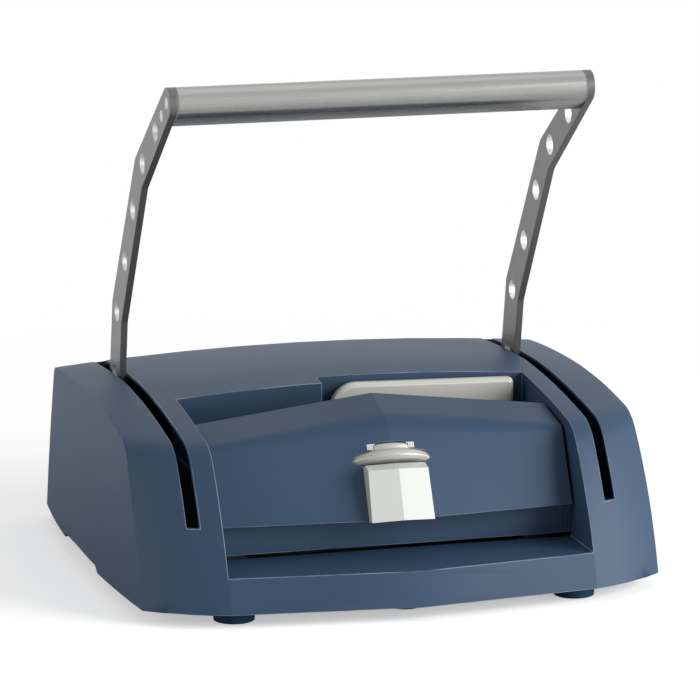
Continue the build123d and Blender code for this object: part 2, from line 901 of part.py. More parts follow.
def front_jaw_follower():
    """The angle piece on the front jaw, with the flat face that the scroll pushes."""
    top_rim = scroll_height + scroll_thickness / 2
    reach = wheel_middle() + slope() * top_rim - outward() * scroll_rest_radius
    face = reach.Y + body_gap
    front = front_jaw_face - front_jaw_thickness
    upper = box(-follower_half, follower_half, face, face + follower_sheet, follower_low, follower_top)
    arm_back = front_jaw_face - jaw_chamfer
    shelf = box(-follower_half, follower_half, face, arm_back, follower_low, follower_low + follower_sheet)
    riser = box(-follower_half, follower_half, front, arm_back, jaw_top, follower_low)
    return upper + shelf + riser


def grip_section(x):
    """The side view of the finger grip at x: bevelled at the top, thinner at its foot."""
    low = (grip_foot - wheel_z) / slope().Z
    high = wheel_foot - grip_gap
    drop = grip_edge_drop * abs(x) / grip_half
    points = (
        (high, -panel_wall),
        (high, grip_top_proud - grip_bevel - drop),
        (high - grip_bevel, grip_top_proud - drop),
        (low, grip_foot_proud - drop),
        (low + grip_undercut, -panel_wall),
    )
    start = face_point(wheel_z)
    corners = [start + slope() * along + outward() * out for along, out in points]
    return side_plane(x) * make_face(Polyline(*[(c.Y, c.Z) for c in corners], close=True))


def grip_sides():
    """The grip seen from the front: a little narrower at its top."""
    low, high = panel_foot - far / 8, wheel_z + wheel_radius
    share = (grip_half - grip_top_half) / (wheel_z - grip_foot)
    wide = grip_half + share * (grip_foot - low)
    narrow = grip_half + share * (grip_foot - high)
    outline = Polyline((-wide, low), (wide, low), (narrow, high), (-narrow, high), close=True)
    return extrude(Plane.XZ * make_face(outline), far)


def selector_grip():
    """The off-white grip under the wheel, two slopes that meet in a soft ridge."""
    block = loft([grip_section(x) for x in (-grip_half, 0, grip_half)], ruled=True)
    return (block & grip_sides()) - panel_form(panel_half, 0)


def scale_plates():
    """The two white scale plates above the wheel."""
    skin = panel_form(panel_half, -scale_sheet) - panel_form(panel_half, 0)
    middle = (plate_near + plate_far) / 2
    sketch = Pos(middle, -far / 10) * Rectangle(plate_far - plate_near, far / 5)
    window = extrude(wheel_plane(plate_low) * sketch, plate_high - plate_low)
    return both_sides((skin & window) - wheel_body(window_gap))


# Channel opening tool

def tool_outline():
    """The hand tool seen from the front: a slim bar with one rounded tip."""
    corners = (
        (tool_left, tool_foot),
        (tool_left, tool_high),
        (tool_right, tool_low),
        (tool_right, tool_foot),
    )
    face = make_face(Polyline(*corners, close=True))
    face = fillet(nearest(face, corners[1]), tool_tip_radius)
    return fillet(nearest(face, corners[2]), tool_end_radius)


def tool_body():
    """The grip of the opening tool."""
    start = recess_back + (pocket_depth - tool_thickness) / 2
    plane = Plane((0, start, 0), x_dir=(1, 0, 0), z_dir=(0, -1, 0))
    body = extrude(plane * tool_outline(), -tool_thickness)
    top = body.edges().filter_by(lambda edge: edge.center().Z > tool_foot + tool_edge)
    along = top.filter_by(lambda edge: abs(edge.tangent_at(0.5).Y) < 0.5)
    return chamfer(along, tool_edge)


def tool_blade():
    """The steel blade under the grip."""
    middle = recess_back + pocket_depth / 2
    half = blade_thickness / 2
    left, right = tool_left + blade_inset, tool_right - blade_inset
    return box(left, right, middle - half, middle + half, pocket_floor + body_gap, tool_foot)


# Feet, screws and springs

def foot(x, y):
    """A round rubber foot with a sunk screw hole."""
    pad = upright(foot_radius, x, y, 0, plate_z) - upright(foot_bore, x, y, -foot_bore_depth, foot_bore_depth)
    return pad - upright(screw_radius, x, y, 0, far)


def feet(places):
    """Some of the feet, as separate solids."""
    return Compound(children=[foot(x, y).solid() for x, y in places])


def pan_screw(x, y, head_z, end_z):
    """A pan head screw that points up."""
    head = upright(pan_head_radius, x, y, head_z - pan_head, head_z)
    return head + upright(screw_radius, x, y, head_z, end_z)


def foot_screws():
    """One screw for each foot."""
    end = plate_top + pan_head
    screws = [pan_screw(x, y, foot_bore_depth, end) for x, y in foot_places()]
    return Compound(children=[screw.solid() for screw in screws])


def housing_screws():
    """The screws from below into the housing posts."""
    end = plate_top + post_hole_depth
    screws = [pan_screw(boss_x, y, plate_z, end) for y in boss_ys]
    return both_sides(screws[0] + screws[1])


def spring_ring(place):
    """The square section of the wire at a share of the spring's length, turned round the rod."""
    end_room = body_gap + spring_wire / 2
    start = front_jaw_face - jaw_undercut + end_room
    stop = rear_jaw_face + jaw_undercut - end_room
    angle = 2 * math.pi * spring_turns * place
    away = Vector(math.cos(angle), 0, math.sin(angle))
    centre = Vector(rod_x, start + (stop - start) * place, rod_z)
    centre += away * (rod_radius + body_gap + spring_wire / 2)
    along = Vector(-away.Z, 0, away.X)
    return Plane(centre, x_dir=away, z_dir=along) * Rectangle(spring_wire, spring_wire)


def return_springs():
    """Two springs of square wire round the guide rods, that spread the jaws."""
    steps = spring_turns * spring_sides
    return both_sides(loft([spring_ring(step / steps) for step in range(steps + 1)], ruled=True))


def export(parts):
    """Writes each piece to its own file."""
    os.makedirs("parts", exist_ok=True)
    for name, shape in parts.items():
        export_step(shape, f"parts/{name}.step")


arm_start = arm_mid_x - arm_thickness / 2
export({
    "housing": housing(),
    "base_plate": base_plate(),
    "side_frame_right": side_frame(),
    "side_frame_left": side_frame().mirror(Plane.YZ),
    "front_beam": front_beam(),
    "rear_beam": rear_beam(),
    "guide_rods": guide_rods(),
    "rod_blocks": rod_blocks(),
    "channel_rest": channel_rest(),
    "shaft_bushes": shaft_bushes(),
    "arm_right": arm(arm_start),
    "arm_left": arm(arm_start).mirror(Plane.YZ),
    "handle_tube": handle_tube(),
    "tube_end_caps": tube_end_caps(),
    "tube_screws": tube_screws(),
    "cross_shaft": cross_shaft(),
    "shaft_spacers": shaft_spacers(),
    "shaft_nuts": shaft_nuts(),
    "cam_right": cam(),
    "cam_left": cam().mirror(Plane.YZ),
    "rear_jaw_bar": rear_jaw_bar(),
    "rear_jaw_carriers": rear_jaw_carriers(),
    "follower_noses": follower_noses(),
    "front_jaw_bar": front_jaw_bar(),
    "front_jaw_carriers": front_jaw_carriers(),
    "front_jaw_follower": front_jaw_follower(),
    "front_panel": front_panel(),
    "inner_apron": inner_apron(),
    "selector_bracket": selector_bracket(),
    "selector_grip": selector_grip(),
    "scale_plates": scale_plates(),
    "size_wheel": size_wheel(),
    "wheel_spindle": wheel_spindle(),
    "scroll_cam": scroll_cam(),
    "tool_body": tool_body(),
    "tool_blade": tool_blade(),
    "front_feet": feet(foot_places()[:2]),
    "centre_foot": feet(foot_places()[2:3]),
    "rear_feet": feet(foot_places()[3:]),
    "foot_screws": foot_screws(),
    "housing_screws": housing_screws(),
    "return_springs": return_springs(),
})
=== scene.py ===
"""The looks of a desk-top channel binding machine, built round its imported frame.

Metres throughout, in the frame's own axes: X to the right, Y to the back, Z up.
Every piece takes its place from the frame, so it stays on what carries it.
"""

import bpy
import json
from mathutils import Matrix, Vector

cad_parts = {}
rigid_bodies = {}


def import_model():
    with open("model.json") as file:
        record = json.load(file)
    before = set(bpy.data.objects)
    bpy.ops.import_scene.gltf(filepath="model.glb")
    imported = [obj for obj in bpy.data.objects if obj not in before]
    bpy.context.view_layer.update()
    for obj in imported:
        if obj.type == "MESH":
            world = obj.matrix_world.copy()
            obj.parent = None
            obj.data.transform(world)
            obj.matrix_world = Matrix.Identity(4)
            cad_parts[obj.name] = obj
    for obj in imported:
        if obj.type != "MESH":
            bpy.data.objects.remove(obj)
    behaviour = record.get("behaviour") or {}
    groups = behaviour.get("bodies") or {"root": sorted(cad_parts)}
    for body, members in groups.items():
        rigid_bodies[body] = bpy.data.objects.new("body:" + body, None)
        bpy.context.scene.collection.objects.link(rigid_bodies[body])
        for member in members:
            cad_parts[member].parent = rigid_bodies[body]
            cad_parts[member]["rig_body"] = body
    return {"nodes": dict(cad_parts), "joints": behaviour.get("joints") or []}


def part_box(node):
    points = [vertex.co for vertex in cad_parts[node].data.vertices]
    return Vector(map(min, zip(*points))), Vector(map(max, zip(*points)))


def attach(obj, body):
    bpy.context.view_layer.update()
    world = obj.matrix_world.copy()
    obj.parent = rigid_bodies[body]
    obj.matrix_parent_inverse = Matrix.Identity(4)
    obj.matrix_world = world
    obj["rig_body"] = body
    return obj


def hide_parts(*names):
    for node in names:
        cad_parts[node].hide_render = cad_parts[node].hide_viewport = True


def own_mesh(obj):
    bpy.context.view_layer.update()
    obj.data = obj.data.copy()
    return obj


bl_info = {
    "name": "Channel binding machine",
    "version": (1, 0, 0),
    "blender": (4, 5, 0),
    "location": "View3D > Sidebar > Binding",
    "description": "Surfaces and finishes of a desk-top channel binding machine",
    "category": "Object",
}

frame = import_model()

import json
import math

import bmesh
import bpy
import numpy as np
from bpy.props import FloatProperty, FloatVectorProperty, IntProperty, PointerProperty
from mathutils import Vector

MM = 0.001
BLACK, WHITE = (0, 0, 0), (1, 1, 1)
HINGES = {joint["name"]: joint for joint in frame["joints"]}

# Edges

SHARP = math.radians(28)  # faces that meet at more than this show an edge
FADE = math.radians(16)  # the bend past a sharp edge's over which its rounding grows to full width
FLAT = math.radians(0.2)  # faces that meet at less than this are merged
BEVEL_STEPS = 2
WELD_CAD = 1e-6  # metres, the gap closed between a node's loose triangles
WELD_SEAM = 1e-7  # metres, the gap closed along the seams of a made surface
ON_FOLD = 0.02 * MM  # a corner nearer than this to a fold's plane lies on it
FULL_FOLD = (0.0, 1.0)  # a fold in the middle, over the whole height
WALL = 0.3  # a face whose normal has less X than this stands square to an arm's plane

# Made pieces

WHEEL_PROFILE = (  # millimetres from the wheel's axis, and up along it
    (4.05, -2.1), (40.5, -2.1), (45.0, 1.4), (41.87, 7.06),
    (34.3, 9.4), (34.3, 13.6), (31.7, 16.2), (4.05, 16.2),
)
WHEEL_ROUNDS = 3
SPRING_WIRE = 1.1 * MM  # the wire's radius
SPRING_CLEARANCE = 0.3 * MM  # between a guide rod and the wire
SPRING_STEPS = 257
SPRING_SIDES = 12

# Shades

DUST = (0.42, 0.44, 0.48)
RUBBER_PALE = (0.014, 0.046, 0.088)
MARK_FROM = 0.72  # the share of a scale's step that stays blank before its mark

# Stage

AIM = (0, 0, 0.15)  # what the lamps face
SENSOR = 36.0  # millimetres


def number(name, default, description, subtype="NONE"):
    """A plain number that the user can change."""
    return FloatProperty(name=name, default=default, description=description, subtype=subtype)


def length(name, default, description):
    """A size in metres that the user can change."""
    return FloatProperty(
        name=name, default=default, description=description, unit="LENGTH", precision=5
    )


def colour(name, default, description):
    """A plain colour that the user can change."""
    return FloatVectorProperty(
        name=name, default=default, description=description, subtype="COLOR", size=3, min=0, max=1
    )


class MouldingSettings(bpy.types.PropertyGroup):
    """The plastic mouldings: housing, hood, apron and feet."""

    edge: length("Edge rounding", 0.6 * MM, "Width of the rounding along moulded edges")
    sharp: number("Sharp edge", SHARP, "Faces that meet at more than this show an edge", "ANGLE")
    crisp_beyond: length("Crisp beyond", 200.0 * MM, "Half width past which edges stay crisp")
    lip_fold: length("Lip fold", 160.0 * MM, "Distance from the middle to the lip's folds")
    lip_top: length("Lip fold, top", 42.0 * MM, "Height at which the folds in the front lip end")
    plastic: colour("Plastic", (0.027, 0.057, 0.104), "Navy of the housing")
    plastic_pale: colour("Plastic, rubbed", (0.030, 0.069, 0.128), "Paler mottling of the housing")
    # Painted highlight: a pale colour for the rounded edges of the mouldings, standing in for the light
    # they catch; it blends with the rubbed shade above.
    plastic_edge_highlight: colour("Plastic, worn edge", (0.200, 0.250, 0.320), "Pale line along moulded edges")
    rubber: colour("Rubber", (0.008, 0.034, 0.070), "Dark blue rubber of the feet")


class HandleSettings(bpy.types.PropertyGroup):
    """The arms and the hand tube."""

    edge: length("Edge rounding", 0.5 * MM, "Width of the rounding along the arms' edges")
    arm: colour("Arm", (0.120, 0.120, 0.122), "Metallic grey of the arms")
    bore: colour("Bored steel", (0.80, 0.80, 0.80), "Bare metal in the arms' holes")
    tube: colour("Tube", (0.37, 0.37, 0.36), "Satin aluminium of the hand tube")
    cap: colour("End cap", (0.16, 0.16, 0.16), "Grey plastic of the end caps")


class MetalSettings(bpy.types.PropertyGroup):
    """The steel and brass inside."""

    edge: length("Edge rounding", 0.35 * MM, "Width of the rounding along steel edges")
    coat: colour("Powder coat", (0.014, 0.030, 0.054), "Dark blue coat of the steel frame")
    ground: colour("Ground steel", (0.56, 0.56, 0.57), "Bright ground rods and shafts")
    machined: colour("Machined steel", (0.30, 0.30, 0.31), "Jaws and cams")
    brass: colour("Brass", (0.56, 0.42, 0.18), "Bushes")
    turns: IntProperty(name="Spring turns", default=8, min=3, description="Turns of each return spring")


class SelectorSettings(bpy.types.PropertyGroup):
    """The thumb wheel, its grip and the scale plates."""

    edge: length("Edge rounding", 0.8 * MM, "Width of the rounding along the grip's edges")
    pearl: colour("Pearl", (0.58, 0.60, 0.57), "Off-white of the grip")
    wheel: colour("Wheel", (0.52, 0.51, 0.47), "Warm grey of the wheel")
    plate: colour("Scale plate", (0.82, 0.82, 0.82), "White of the scale plates")
    ink: colour("Ink", (0.03, 0.03, 0.03), "Ink of the scale marks")
    pitch: length("Mark pitch", 1.4 * MM, "Distance between two marks of the scale")
    around: IntProperty(name="Steps round", default=160, min=24, description="Steps round the wheel")


class ToolSettings(bpy.types.PropertyGroup):
    """The hand tool in its pocket."""

    edge: length("Edge rounding", 1.0 * MM, "Width of the rounding along the tool's edges")
    shell: colour("Shell", (0.60, 0.59, 0.54), "Warm silver of the hand tool")


class StageSettings(bpy.types.PropertyGroup):
    """Camera, lamps and floor."""

    camera: FloatVectorProperty(
        name="Camera", default=(-1.0398, -3.6702, 1.0005), subtype="XYZ",
        description="Where the camera stands",
    )
    swing: number("Swing", -0.2757, "How far the camera stands to the side", "ANGLE")
    drop: number("Drop", 0.21, "How far the camera looks down", "ANGLE")
    lens: number("Lens", 229.56, "Focal length in millimetres on a 36 mm sensor")
    floor: colour("Floor", (0.93, 0.93, 0.93), "Pale floor")
    floor_glow: number("Floor glow", 0.45, "Extra white of the floor, to the camera alone")
    floor_near: length("Floor, whole", 0.55, "How far from the machine the floor is whole")
    floor_far: length("Floor, faded", 1.05, "How far out the floor has faded into the white")
    key: number("Key lamp", 118.0, "Power of the low lamp at the front right, in watts")
    top: number("Top lamp", 4.0, "Power of the lamp overhead, in watts")
    fill: number("Fill lamp", 20.0, "Power of the lamp on the left, in watts")
    sky: number("Sky", 0.26, "Strength of the even light from all round")


# Shader maths

class Wire:
    """An output socket; sums, products and comparisons on it add Math nodes."""

    def __init__(self, nodes, socket):
        self.nodes = nodes
        self.socket = socket

    def __add__(self, other):
        return self.nodes.maths("ADD", self, other)

    def __radd__(self, other):
        return self.nodes.maths("ADD", other, self)

    def __mul__(self, other):
        return self.nodes.maths("MULTIPLY", self, other)

    def __rmul__(self, other):
        return self.nodes.maths("MULTIPLY", other, self)

    def __gt__(self, other):
        return self.nodes.maths("GREATER_THAN", self, other)


class Nodes:
    """A tree of nodes, all of them added by one method."""

    def __init__(self, tree):
        self.tree = tree

    def add(self, kind, settings, inputs, output=0):
        """Adds a node: its settings first, then the values or wires of its sockets."""
        node = self.tree.nodes.new(kind)
        for name, value in settings.items():
            setattr(node, name, value)
        for socket, value in inputs.items():
            self.feed(node.inputs[socket], value)
        return Wire(self, node.outputs[output])

    def maths(self, operation, first, second):
        """Adds a Math node."""
        return self.add("ShaderNodeMath", {"operation": operation}, {0: first, 1: second})

    def feed(self, socket, value):
        """Sets a socket to a value, or links a wire to it."""
        if isinstance(value, Wire):
            self.tree.links.new(value.socket, socket)
        else:
            socket.default_value = value


class Finish(Nodes):
    """One procedural material: a Principled shader and the pattern that feeds it."""

    def __init__(self, name, **plain):
        self.material = bpy.data.materials.new(name)
        self.material.use_nodes = True
        super().__init__(self.material.node_tree)
        self.shader = self.tree.nodes["Principled BSDF"]
        for socket, value in plain.items():
            self.show(socket.replace("_", " ").title().replace("Ior", "IOR"), value)

    def show(self, socket, value):
        """Feeds one of the shader's own sockets."""
        self.feed(self.shader.inputs[socket], value)

    def place(self, stretch=(1, 1, 1)):
        """The piece's own coordinates, stretched."""
        own = self.add("ShaderNodeTexCoord", {}, {}, "Object")
        return self.add("ShaderNodeMapping", {}, {"Vector": own, "Scale": stretch})

    def noise(self, scale, detail, stretch=(1, 1, 1)):
        """Soft noise between 0 and 1."""
        where = self.place(stretch)
        return self.add("ShaderNodeTexNoise", {}, {"Vector": where, "Scale": scale, "Detail": detail})

    def cells(self, scale):
        """The distance to the nearest of many scattered points."""
        return self.add("ShaderNodeTexVoronoi", {}, {"Vector": self.place(), "Scale": scale})

    def steps(self, wire, low, high):
        """Spreads a wire's values between low and high over 0 to 1."""
        return self.add("ShaderNodeMapRange", {}, {"Value": wire, "From Min": low, "From Max": high})

    def blend(self, factor, first, second):
        """Mixes two colours."""
        colours = {6: solid(first), 7: solid(second), 0: factor}
        return self.add("ShaderNodeMix", {"data_type": "RGBA"}, colours, 2)

    def roughen(self, pattern, least, spread):
        """Feeds a roughness that a pattern raises from its least value by up to its spread."""
        self.show("Roughness", least + pattern * spread)

    def bump(self, height, strength, distance):
        """Turns a height into a normal and feeds it."""
        inputs = {"Height": height, "Strength": strength, "Distance": distance}
        self.show("Normal", self.add("ShaderNodeBump", {}, inputs))


def solid(shade):
    """A colour with its alpha; a wire stays as it is."""
    return shade if isinstance(shade, Wire) else (*tuple(shade)[:3], 1)


def shaded(shade, share):
    """A colour with each of its channels times a share."""
    return tuple(channel * share for channel in shade)


def mottled(finish, first, second, scale, low=0.35, high=0.65):
    """Feeds a base colour that drifts softly between two shades."""
    drift = finish.steps(finish.noise(scale, detail=4.0), low, high)
    finish.show("Base Color", finish.blend(drift, first, second))


# Finishes

def moulded_plastic():
    """Fine-grained blue-grey plastic with faint mottling and a few pale specks of dust."""
    look = bpy.context.scene.moulding
    finish = Finish("moulded_plastic", specular_ior_level=0.26)
    mottling, dustiness = 0.45, 0.16
    drift = finish.steps(finish.noise(scale=9.0, detail=4.0), low=0.32, high=0.68)
    base = finish.blend(drift * mottling, look.plastic, look.plastic_pale)
    specks = finish.steps(finish.cells(scale=230.0), low=0.10, high=0.04)
    seldom = finish.noise(scale=75.0, detail=2.0) > 0.60
    finish.show("Base Color", finish.blend(specks * seldom * dustiness, base, DUST))
    grain = finish.noise(scale=1500.0, detail=2.0)
    finish.roughen(grain, least=0.44, spread=0.10)
    finish.bump(grain, strength=0.16, distance=0.12 * MM)
    return finish.material


def painted_edge_highlight():
    """The same plastic, paler on its rounded edges: a painted highlight for the light that the edges
    catch.
    """
    look = bpy.context.scene.moulding
    finish = Finish("painted_edge_highlight", specular_ior_level=0.42)
    mottled(finish, look.plastic_pale, look.plastic_edge_highlight, scale=26.0, low=0.30, high=0.60)
    finish.roughen(finish.noise(scale=1200.0, detail=2.0), least=0.40, spread=0.12)
    return finish.material


def foot_rubber():
    """Dark rubber with a dusty grain."""
    look = bpy.context.scene.moulding
    finish = Finish("foot_rubber", specular_ior_level=0.15)
    mottled(finish, look.rubber, RUBBER_PALE, scale=90.0)
    grain = finish.noise(scale=900.0, detail=3.0)
    finish.roughen(grain, least=0.66, spread=0.16)
    finish.bump(grain, strength=0.3, distance=0.15 * MM)
    return finish.material


def arm_paint():
    """Satin metallic paint over drawn steel, with flake and fine streaks along the arm."""
    look = bpy.context.scene.handle
    finish = Finish("arm_paint", metallic=0.55, coat_weight=0.15, coat_roughness=0.3)
    flake = finish.steps(finish.cells(scale=2600.0), low=0.15, high=0.55)
    finish.show("Base Color", finish.blend(flake, shaded(look.arm, 1.28), look.arm))
    streak = finish.noise(scale=420.0, detail=3.0, stretch=(1.0, 0.35, 0.12))
    finish.roughen(streak, least=0.34, spread=0.12)
    finish.bump(streak, strength=0.08, distance=0.10 * MM)
    return finish.material


def tube_aluminium():
    """Satin anodised aluminium with drawing lines along the tube."""
    look = bpy.context.scene.handle
    finish = Finish("tube_aluminium", metallic=0.88)
    line = finish.noise(scale=520.0, detail=4.0, stretch=(0.02, 1.0, 1.0))
    finish.show("Base Color", finish.blend(line, shaded(look.tube, 0.9), look.tube))
    finish.roughen(line, least=0.22, spread=0.10)
    finish.bump(line, strength=0.05, distance=0.06 * MM)
    return finish.material


def cap_plastic():
    """Plain grey plastic of the end caps."""
    look = bpy.context.scene.handle
    finish = Finish("cap_plastic")
    mottled(finish, look.cap, shaded(look.cap, 1.2), scale=120.0)
    grain = finish.noise(scale=1400.0, detail=2.0)
    finish.roughen(grain, least=0.42, spread=0.1)
    finish.bump(grain, strength=0.12, distance=0.1 * MM)
    return finish.material


def metal(name, base, rough, stretch, scale):
    """Bare metal with tool marks stretched along one way."""
    finish = Finish(name, metallic=1.0)
    marks = finish.noise(scale, detail=4.0, stretch=stretch)
    finish.show("Base Color", finish.blend(marks, shaded(base, 0.82), base))
    finish.roughen(marks, least=rough, spread=0.14)
    finish.bump(marks, strength=0.06, distance=0.08 * MM)
    return finish.material


def powder_coat():
    """Dark blue powder coat with its orange-peel surface."""
    look = bpy.context.scene.metal
    finish = Finish("powder_coat")
    mottled(finish, look.coat, shaded(look.coat, 1.4), scale=60.0)
    peel = finish.noise(scale=620.0, detail=2.0)
    finish.roughen(peel, least=0.48, spread=0.14)
    finish.bump(peel, strength=0.25, distance=0.15 * MM)
    return finish.material


def pearl_plastic(name, base, warm):
    """Satin pearl plastic: a soft clear coat over a faint flake."""
    finish = Finish(name, coat_weight=0.25, coat_roughness=0.22, metallic=0.12)
    faintness = 0.5
    flake = finish.steps(finish.cells(scale=3200.0), low=0.1, high=0.6)
    finish.show("Base Color", finish.blend(flake * faintness, base, warm))
    grain = finish.noise(scale=1100.0, detail=2.0)
    finish.roughen(grain, least=0.34, spread=0.1)
    finish.bump(grain, strength=0.06, distance=0.08 * MM)
    return finish.material


def printed(name, base, ink, pitch):
    """A white printed plate with plain graduation marks, one at each step along X."""
    finish = Finish(name)
    film = finish.blend(finish.noise(scale=700.0, detail=2.0), base, shaded(base, 0.92))
    along = finish.add("ShaderNodeSeparateXYZ", {}, {"Vector": finish.place()}, "X")
    step = finish.add("ShaderNodeMath", {"operation": "FRACT"}, {0: along * (1 / pitch)})
    finish.show("Base Color", finish.blend(step > MARK_FROM, film, ink))
    finish.roughen(finish.noise(scale=900.0, detail=2.0), least=0.38, spread=0.1)
    return finish.material


# Meshes

def place_piece(piece, body, slot, *nodes):
    """Sets a finished piece on its body and hides the nodes it stands for."""
    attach(piece, body)
    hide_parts(*nodes)
    return piece


def body_of(node):
    """The body that carries a node."""
    return frame["nodes"][node]["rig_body"]


def round_edges(piece, width, clamp):
    """Rounds the sharp edges of a piece, each as wide as its weight says.

    Clamped, no rounding is wider than a thin piece allows.
    """
    bevel = piece.modifiers.new("rounded_edges", "BEVEL")
    bevel.width = width
    bevel.segments = BEVEL_STEPS
    bevel.limit_method = "WEIGHT"
    bevel.harden_normals = True
    bevel.use_clamp_overlap = clamp
    return bevel


def smooth_by_angle(mesh, angle, crisp_beyond=math.inf):
    """Shades a mesh smooth, apart from edges where its faces meet at more than the angle.

    An edge's rounding weight grows from 0 at the angle to 1 at FADE more, so that a fading
    edge has no sudden end. Edges with both ends beyond crisp_beyond from the middle stay crisp.
    """
    work = bmesh.new()
    work.from_mesh(mesh)
    weight = work.edges.layers.float.new("bevel_weight_edge")
    for face in work.faces:
        face.smooth = True
    for edge in work.edges:
        bend = edge.calc_face_angle(0) if len(edge.link_faces) == 2 else 0.0
        edge.smooth = len(edge.link_faces) == 2 and bend < angle
        outside = min(abs(corner.co.x) for corner in edge.verts) > crisp_beyond
        edge[weight] = 0.0 if outside else min(1.0, max(0.0, (bend - angle) / FADE))
    work.to_mesh(mesh)
    work.free()


def mark_fold(mesh, fold):
    """Marks as an edge the shallow fold where two moulded faces meet in a plane of constant X.

    An edge is on the fold when both its ends have |x| equal to the fold's place and z under its top.
    """
    place, top = fold
    points = np.empty(len(mesh.vertices) * 3)
    mesh.vertices.foreach_get("co", points)
    points = points.reshape(-1, 3)
    on_fold = (np.abs(np.abs(points[:, 0]) - place) < ON_FOLD) & (points[:, 2] < top)
    ends = np.empty(len(mesh.edges) * 2, dtype=int)
    mesh.edges.foreach_get("vertices", ends)
    both = on_fold[ends.reshape(-1, 2)].all(axis=1)
    for index in np.flatnonzero(both):
        mesh.edges[index].use_edge_sharp = True


def skin(node, material, slot, width, angle=SHARP, edge=None, fold=None, crisp_beyond=math.inf):
    """A smooth copy of a node, with its loose triangles joined and its flat stretches merged.

    A width rounds its edges, in a material of their own where edge gives one.
    """
    mesh = frame["nodes"][node].data.copy()
    work = bmesh.new()
    work.from_mesh(mesh)
    bmesh.ops.remove_doubles(work, verts=work.verts, dist=WELD_CAD)
    bmesh.ops.dissolve_limit(work, angle_limit=FLAT, verts=work.verts, edges=work.edges)
    work.to_mesh(mesh)
    work.free()
    smooth_by_angle(mesh, angle, crisp_beyond)
    if fold:
        mark_fold(mesh, fold)
    mesh.materials.clear()
    mesh.materials.append(material)
    piece = bpy.data.objects.new(node + "_skin", mesh)
    bpy.context.scene.collection.objects.link(piece)
    if width:
        bevel = round_edges(piece, width, clamp=edge is None)
        # The bevel's faces take the second material, which for the mouldings is a painted highlight.
        if edge:
            mesh.materials.append(edge)
            bevel.material = 1
    return place_piece(piece, body_of(node), slot, node)


def bore_bright(piece, material):
    """Gives the walls of an arm's holes a bare metal of their own.

    The walls and the outline are the faces that stand square to the arm's plane. The outline is
    the largest stretch of them that hangs together, and every other stretch is a hole.
    """
    mesh = piece.data
    mesh.materials.append(material)
    work = bmesh.new()
    work.from_mesh(mesh)
    work.normal_update()
    left = {face for face in work.faces if abs(face.normal.x) < WALL}
    stretches = []
    while left:
        stretch, waiting = [], [left.pop()]
        while waiting:
            face = waiting.pop()
            stretch.append(face)
            beside = {other for edge in face.edges for other in edge.link_faces} & left
            left -= beside
            waiting += beside
        stretches.append(stretch)
    outline = max(stretches, key=lambda faces: sum(face.calc_area() for face in faces))
    for stretch in stretches:
        for face in stretch:
            face.material_index = 0 if stretch is outline else 1
    work.to_mesh(mesh)
    work.free()


def grid_faces(rows, columns, wrap_rows):
    """The four corners of each face of a grid of points whose columns go round, as one array."""
    down = np.arange(rows if wrap_rows else rows - 1)
    row, column = np.meshgrid(down, np.arange(columns), indexing="ij")
    next_row, next_column = (row + 1) % rows, (column + 1) % columns
    near = (row * columns + column, row * columns + next_column)
    far = (next_row * columns + next_column, next_row * columns + column)
    return np.stack(near + far, axis=-1).reshape(-1, 4)


def surface(name, points, material, wrap_rows):
    """A mesh from a grid of points, closed where it wraps, with its faces turned outwards."""
    faces = grid_faces(*points.shape[:2], wrap_rows)
    mesh = bpy.data.meshes.new(name)
    mesh.from_pydata(points.reshape(-1, 3), [], faces)
    work = bmesh.new()
    work.from_mesh(mesh)
    bmesh.ops.remove_doubles(work, verts=work.verts, dist=WELD_SEAM)
    bmesh.ops.recalc_face_normals(work, faces=work.faces)
    work.to_mesh(mesh)
    work.free()
    smooth_by_angle(mesh, SHARP)
    mesh.materials.append(material)
    piece = bpy.data.objects.new(name, mesh)
    bpy.context.scene.collection.objects.link(piece)
    return piece


def softened(profile, rounds):
    """A profile with its corners cut again and again, so that it stays inside the first one.

    Each side keeps the two points at a sixth and at five sixths of its length; the two ends stay.
    """
    for _ in range(rounds):
        first, second = profile[:-1], profile[1:]
        cut = np.stack((first + (second - first) / 6, first + (second - first) * 5 / 6), axis=1)
        profile = np.vstack((profile[:1], cut.reshape(-1, 2), profile[-1:]))
    return profile


def revolve(profile, origin, axis, steps):
    """Points of a profile of (radius, height) pairs turned about an axis.

    A point is origin + height * axis + radius * (cos t * across + sin t * over), with t round the axis.
    """
    axis = np.array(axis) / np.linalg.norm(axis)
    across = np.array((1.0, 0.0, 0.0))
    over = np.cross(axis, across)
    turn = np.linspace(0, 2 * math.pi, steps, endpoint=False)[:, None, None]
    radius, height = profile[None, :, 0, None], profile[None, :, 1, None]
    return np.array(origin) + height * axis + radius * (np.cos(turn) * across + np.sin(turn) * over)


def coil(start, stop, radius, wire, turns, steps, sides):
    """Points of a round wire wound evenly on a line along Y.

    The wire's middle goes evenly from start to stop, plus radius * (cos t, sin t) across the
    line. Round it goes a circle of the wire's radius, spanned by the outward direction and one
    square to it and to the wire.
    """
    t = np.linspace(0, 2 * math.pi * turns, steps)[:, None]
    share = t / (2 * math.pi * turns)
    out = np.hstack((np.cos(t), 0 * t, np.sin(t)))
    middle = np.array(start) + radius * out + share * (np.array(stop) - np.array(start))
    along = np.gradient(middle, axis=0)
    along /= np.linalg.norm(along, axis=1, keepdims=True)
    side = np.cross(along, out)
    ring = np.linspace(0, 2 * math.pi, sides, endpoint=False)[None, :, None]
    return middle[:, None] + wire * (np.cos(ring) * out[:, None] + np.sin(ring) * side[:, None])


def capped(points):
    """A tube's rings with one more at each end, drawn together to its middle, which closes the tube."""
    ends = [np.broadcast_to(points[end].mean(axis=0), points[end].shape)[None] for end in (0, -1)]
    return np.concatenate((ends[0], points, ends[1]))


# Pieces

